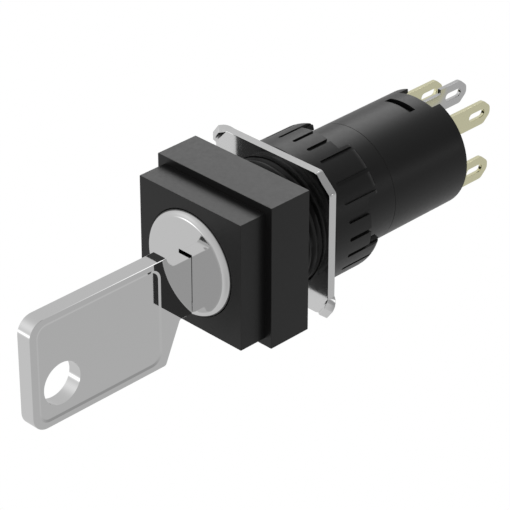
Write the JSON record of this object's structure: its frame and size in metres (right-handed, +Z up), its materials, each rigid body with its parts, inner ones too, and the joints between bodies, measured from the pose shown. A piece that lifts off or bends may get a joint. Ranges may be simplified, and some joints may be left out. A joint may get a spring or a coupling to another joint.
{
  "type": "selector key switch",
  "caption": "Panel-mounted key selector switch: square bezel, key lock in a round body, ribbed ring nut and clamp plate, two cam-driven contacts, flat solder terminals.",
  "frame": {"origin": "on the switch's axis, in the plane of the bezel's rear face, which is the front of the panel", "axes": "+X right seen from the key's side, +Y along the axis from the key to the terminals, +Z up"},
  "size_m": [0.0196, 0.0703, 0.0204],
  "materials": {
    "black_plastic": "satin",
    "rubber": "matte",
    "lock_metal": "satin",
    "lock_chrome": "polished",
    "key_metal": "polished",
    "plain_steel": "satin",
    "plate_metal": "polished",
    "pale_plastic": "satin",
    "brass": "satin",
    "tinned_metal": "satin"
  },
  "bodies": {
    "housing": {"bezel_housing": "black_plastic", "head_cap": "black_plastic", "panel_gasket": "rubber", "lock_seal": "rubber", "lock_shell": "lock_metal", "lock_retaining_nut": "plain_steel", "switch_housing": "black_plastic", "contact_carrier": "black_plastic", "index_pin": "plain_steel", "index_spring": "plain_steel", "terminal_base": "black_plastic", "terminal_left_top": "brass", "terminal_left_bottom": "brass", "terminal_right_top": "brass", "terminal_right_bottom": "brass", "terminal_centre_top": "tinned_metal", "terminal_centre_bottom": "tinned_metal", "return_spring_left": "plain_steel", "return_spring_right": "plain_steel"},
    "plug": {"lock_plug": "lock_chrome", "plug_retaining_clip": "plain_steel", "drive_cam": "pale_plastic"},
    "wafers": {"wafer_1": "brass", "wafer_2": "brass", "wafer_3": "brass", "wafer_4": "brass", "wafer_5": "brass"},
    "key": {"key": "key_metal"},
    "clamp": {"clamp_plate": "plate_metal"},
    "nut": {"fixing_nut": "black_plastic"},
    "contact_right": {"plunger_right": "pale_plastic", "bridge_right": "brass"},
    "contact_left": {"plunger_left": "pale_plastic", "bridge_left": "brass"}
  },
  "joints": [
    {"name": "plug_turn", "type": "hinge", "parent": "housing", "child": "plug", "pos_m": [0, 0, 0], "axis": [0, 1, 0], "range_deg": [0, 90]},
    {"name": "key_withdraw", "type": "slide", "parent": "plug", "child": "key", "axis": [0, -1, 0], "range_m": [0, 0.0165]},
    {"name": "wafer_slide", "type": "slide", "parent": "plug", "child": "wafers", "axis": [0, 0, -1], "range_m": [0, 0.0005]},
    {"name": "plate_slide", "type": "slide", "parent": "housing", "child": "clamp", "axis": [0, 1, 0], "range_m": [-0.0015, 0.006]},
    {"name": "nut_turn", "type": "hinge", "parent": "clamp", "child": "nut", "pos_m": [0, 0.0045, 0], "axis": [0, 1, 0], "range_deg": [-540, 2160]},
    {"name": "contact_right_slide", "type": "slide", "parent": "housing", "child": "contact_right", "axis": [0, 1, 0], "range_m": [0, 0.0012], "deforming": ["return_spring_right"]},
    {"name": "contact_left_slide", "type": "slide", "parent": "housing", "child": "contact_left", "axis": [0, 1, 0], "range_m": [0, 0.0012], "deforming": ["return_spring_left"]}
  ],
  "couplings": [
    {"joint": "wafer_slide", "follows": "key_withdraw", "ratio": 0.030303},
    {"joint": "nut_turn", "follows": "plate_slide", "rad_per_m": 6283.2},
    {"joint": "contact_right_slide", "follows": "plug_turn", "m_per_rad": 0.00076394},
    {"joint": "contact_left_slide", "follows": "plug_turn", "m_per_rad": 0.00076394}
  ]
}
